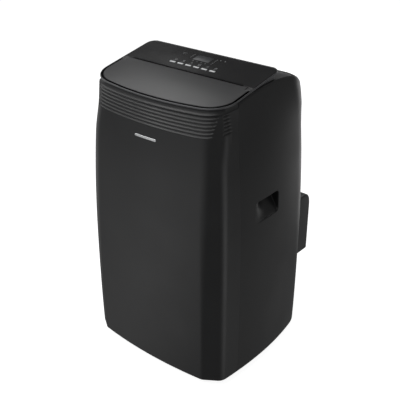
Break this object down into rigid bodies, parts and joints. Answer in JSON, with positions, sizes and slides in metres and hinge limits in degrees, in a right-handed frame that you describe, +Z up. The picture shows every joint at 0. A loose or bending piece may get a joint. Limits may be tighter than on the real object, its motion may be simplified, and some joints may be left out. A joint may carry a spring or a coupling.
{
  "type": "portable air conditioner",
  "caption": "Tall tapered black cabinet on hidden casters, with a sloping top holding an outlet flap and a key deck, side grips, rear intakes and a boxed exhaust hose adapter.",
  "frame": {"origin": "middle of the bounding box at floor level, between the four casters' tread and below the cabinet", "axes": "+Z up, -Y towards the front with the ribbed panel, +X to the right seen from above with the front at the bottom"},
  "size_m": [0.4354, 0.5036, 0.7488],
  "materials": {
    "aluminium": "finned",
    "badge": "satin silver",
    "board": "solder mask",
    "copper": "bare copper",
    "deck": "glossy black",
    "filter": "fine dark mesh",
    "flap": "smooth satin, near black",
    "foam": "foamed, matt",
    "grille": "matt black",
    "inner": "plain moulded",
    "key": "pale satin",
    "paint": "black paint",
    "rubber": "matt",
    "shell": "satin, near black",
    "shell_side": "satin, near black",
    "steel": "plain sheet",
    "window": "smoked, glossy"
  },
  "bodies": {
    "cabinet": {"front_panel": "shell", "left_side_panel": "shell_side", "right_side_panel": "shell_side", "rear_panel": "shell_side", "top_cover": "shell", "rear_shoulder": "shell", "base_pan": "grille", "left_handle_cup": "shell_side", "right_handle_cup": "shell_side", "air_outlet_frame": "grille", "flap_motor": "inner", "control_panel": "deck", "display_window": "window", "control_board": "board", "cord_gland": "rubber", "evaporator": "aluminium", "condenser": "aluminium", "compressor": "paint", "accumulator": "paint", "upper_fan_motor": "steel", "lower_fan_motor": "steel", "blower_scroll": "foam", "drain_tray": "inner", "suction_pipe": "copper", "discharge_pipe": "copper", "electrics_box": "inner", "badge_plate": "badge"},
    "flap": {"louver_flap": "flap"},
    "vane_1": {"vane_1": "grille"},
    "vane_2": {"vane_2": "grille"},
    "vane_3": {"vane_3": "grille"},
    "vane_4": {"vane_4": "grille"},
    "vane_5": {"vane_5": "grille"},
    "vane_6": {"vane_6": "grille"},
    "vane_link": {"vane_link": "grille"},
    "key_1": {"key_1": "key"},
    "key_2": {"key_2": "key"},
    "key_3": {"key_3": "key"},
    "key_4": {"key_4": "key"},
    "key_5": {"key_5": "key"},
    "key_6": {"key_6": "key"},
    "caster_front_left": {"caster_fork_front_left": "grille"},
    "wheel_front_left": {"caster_wheel_front_left": "rubber"},
    "caster_front_right": {"caster_fork_front_right": "grille"},
    "wheel_front_right": {"caster_wheel_front_right": "rubber"},
    "caster_rear_left": {"caster_fork_rear_left": "grille"},
    "wheel_rear_left": {"caster_wheel_rear_left": "rubber"},
    "caster_rear_right": {"caster_fork_rear_right": "grille"},
    "wheel_rear_right": {"caster_wheel_rear_right": "rubber"},
    "upper_fan": {"upper_blower_wheel": "inner"},
    "lower_fan": {"lower_blower_wheel": "inner"},
    "intake_upper": {"intake_grille_upper": "grille", "filter_upper": "filter"},
    "intake_lower": {"intake_grille_lower": "grille", "filter_lower": "filter"},
    "hose_adapter": {"exhaust_adapter": "shell_side"},
    "plug_upper": {"drain_plug_upper": "rubber"},
    "plug_lower": {"drain_plug_lower": "rubber"}
  },
  "joints": [
    {"name": "flap_hinge", "type": "hinge", "parent": "cabinet", "child": "flap", "pos_m": [0, -0.10537, 0.72147], "axis": [-1, 0, 0], "range_deg": [0, 70]},
    {"name": "vane_1_pivot", "type": "hinge", "parent": "cabinet", "child": "vane_1", "pos_m": [-0.1125, -0.15818, 0.67], "axis": [0, 1, 0], "range_deg": [-30, 30]},
    {"name": "vane_2_pivot", "type": "hinge", "parent": "cabinet", "child": "vane_2", "pos_m": [-0.0675, -0.15818, 0.67], "axis": [0, 1, 0], "range_deg": [-30, 30]},
    {"name": "vane_3_pivot", "type": "hinge", "parent": "cabinet", "child": "vane_3", "pos_m": [-0.0225, -0.15818, 0.67], "axis": [0, 1, 0], "range_deg": [-30, 30]},
    {"name": "vane_4_pivot", "type": "hinge", "parent": "cabinet", "child": "vane_4", "pos_m": [0.0225, -0.15818, 0.67], "axis": [0, 1, 0], "range_deg": [-30, 30]},
    {"name": "vane_5_pivot", "type": "hinge", "parent": "cabinet", "child": "vane_5", "pos_m": [0.0675, -0.15818, 0.67], "axis": [0, 1, 0], "range_deg": [-30, 30]},
    {"name": "vane_6_pivot", "type": "hinge", "parent": "cabinet", "child": "vane_6", "pos_m": [0.1125, -0.15818, 0.67], "axis": [0, 1, 0], "range_deg": [-30, 30]},
    {"name": "vane_link_slide", "type": "slide", "parent": "cabinet", "child": "vane_link", "axis": [1, 0, 0], "range_m": [-0.0065, 0.0065]},
    {"name": "key_1_press", "type": "slide", "parent": "cabinet", "child": "key_1", "axis": [0, 0.1938, -0.981], "range_m": [0, 0.0008], "stiffness_N_per_m": 300, "springref_m": -0.0005},
    {"name": "key_2_press", "type": "slide", "parent": "cabinet", "child": "key_2", "axis": [0, 0.1938, -0.981], "range_m": [0, 0.0008], "stiffness_N_per_m": 300, "springref_m": -0.0005},
    {"name": "key_3_press", "type": "slide", "parent": "cabinet", "child": "key_3", "axis": [0, 0.1938, -0.981], "range_m": [0, 0.0008], "stiffness_N_per_m": 300, "springref_m": -0.0005},
    {"name": "key_4_press", "type": "slide", "parent": "cabinet", "child": "key_4", "axis": [0, 0.1938, -0.981], "range_m": [0, 0.0008], "stiffness_N_per_m": 300, "springref_m": -0.0005},
    {"name": "key_5_press", "type": "slide", "parent": "cabinet", "child": "key_5", "axis": [0, 0.1938, -0.981], "range_m": [0, 0.0008], "stiffness_N_per_m": 300, "springref_m": -0.0005},
    {"name": "key_6_press", "type": "slide", "parent": "cabinet", "child": "key_6", "axis": [0, 0.1938, -0.981], "range_m": [0, 0.0008], "stiffness_N_per_m": 300, "springref_m": -0.0005},
    {"name": "caster_front_left_swivel", "type": "hinge", "parent": "cabinet", "child": "caster_front_left", "pos_m": [-0.132, -0.16617, 0.05], "axis": [0, 0, 1], "continuous": true},
    {"name": "wheel_front_left_spin", "type": "hinge", "parent": "caster_front_left", "child": "wheel_front_left", "pos_m": [-0.132, -0.15618, 0.018], "axis": [1, 0, 0], "continuous": true},
    {"name": "caster_front_right_swivel", "type": "hinge", "parent": "cabinet", "child": "caster_front_right", "pos_m": [0.132, -0.16617, 0.05], "axis": [0, 0, 1], "continuous": true},
    {"name": "wheel_front_right_spin", "type": "hinge", "parent": "caster_front_right", "child": "wheel_front_right", "pos_m": [0.132, -0.15618, 0.018], "axis": [1, 0, 0], "continuous": true},
    {"name": "caster_rear_left_swivel", "type": "hinge", "parent": "cabinet", "child": "caster_rear_left", "pos_m": [-0.132, 0.07383, 0.05], "axis": [0, 0, 1], "continuous": true},
    {"name": "wheel_rear_left_spin", "type": "hinge", "parent": "caster_rear_left", "child": "wheel_rear_left", "pos_m": [-0.132, 0.08382, 0.018], "axis": [1, 0, 0], "continuous": true},
    {"name": "caster_rear_right_swivel", "type": "hinge", "parent": "cabinet", "child": "caster_rear_right", "pos_m": [0.132, 0.07383, 0.05], "axis": [0, 0, 1], "continuous": true},
    {"name": "wheel_rear_right_spin", "type": "hinge", "parent": "caster_rear_right", "child": "wheel_rear_right", "pos_m": [0.132, 0.08382, 0.018], "axis": [1, 0, 0], "continuous": true},
    {"name": "upper_fan_spin", "type": "hinge", "parent": "cabinet", "child": "upper_fan", "pos_m": [0, -0.01317, 0.505], "axis": [0, 1, 0], "continuous": true},
    {"name": "lower_fan_spin", "type": "hinge", "parent": "cabinet", "child": "lower_fan", "pos_m": [0.0595, 0.03682, 0.218], "axis": [0, 1, 0], "continuous": true},
    {"name": "intake_upper_pull", "type": "slide", "parent": "cabinet", "child": "intake_upper", "axis": [0, 1, 0], "range_m": [0, 0.04]},
    {"name": "intake_lower_pull", "type": "slide", "parent": "cabinet", "child": "intake_lower", "axis": [0, 1, 0], "range_m": [0, 0.04]},
    {"name": "hose_adapter_pull", "type": "slide", "parent": "cabinet", "child": "hose_adapter", "axis": [0, 1, 0], "range_m": [0, 0.03]},
    {"name": "plug_upper_pull", "type": "slide", "parent": "cabinet", "child": "plug_upper", "axis": [0, 1, 0], "range_m": [0, 0.02]},
    {"name": "plug_lower_pull", "type": "slide", "parent": "cabinet", "child": "plug_lower", "axis": [0, 1, 0], "range_m": [0, 0.02]}
  ],
  "couplings": [
    {"joint": "vane_1_pivot", "follows": "vane_link_slide", "rad_per_m": -80},
    {"joint": "vane_2_pivot", "follows": "vane_link_slide", "rad_per_m": -80},
    {"joint": "vane_3_pivot", "follows": "vane_link_slide", "rad_per_m": -80},
    {"joint": "vane_4_pivot", "follows": "vane_link_slide", "rad_per_m": -80},
    {"joint": "vane_5_pivot", "follows": "vane_link_slide", "rad_per_m": -80},
    {"joint": "vane_6_pivot", "follows": "vane_link_slide", "rad_per_m": -80}
  ]
}
